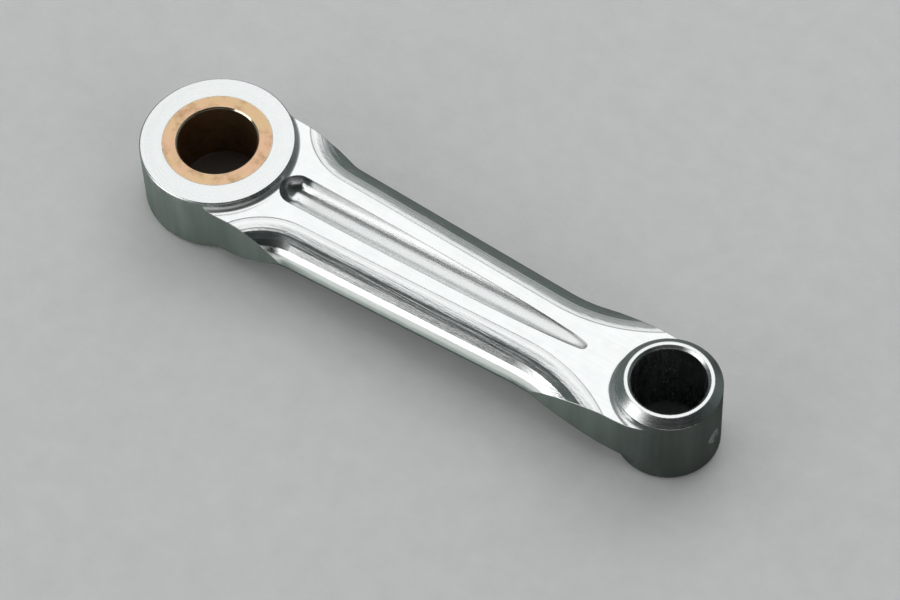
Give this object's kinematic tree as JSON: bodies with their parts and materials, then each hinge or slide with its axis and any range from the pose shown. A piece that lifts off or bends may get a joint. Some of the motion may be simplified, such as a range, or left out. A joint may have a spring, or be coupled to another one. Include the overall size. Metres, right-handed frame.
{
  "type": "connecting rod",
  "caption": "One-piece machined aluminium connecting rod with a bronze-bushed crankpin bore, a plain wrist-pin bore and a fluted, side-relieved tapering beam.",
  "frame": {"origin": "centre of the crankpin bore, on the rod's mid-plane", "axes": "+X from the crankpin bore to the wrist-pin bore, +Y across the beam, +Z along the crankpin axis"},
  "size_m": [0.0448, 0.0106, 0.0066],
  "materials": {
    "rod_alloy": "bright machined, with fine tool marks",
    "bush_bronze": "machined bronze, lightly tarnished"
  },
  "bodies": {
    "root": {"rod_body": "rod_alloy", "big_end_bush": "bush_bronze"}
  },
  "joints": []
}
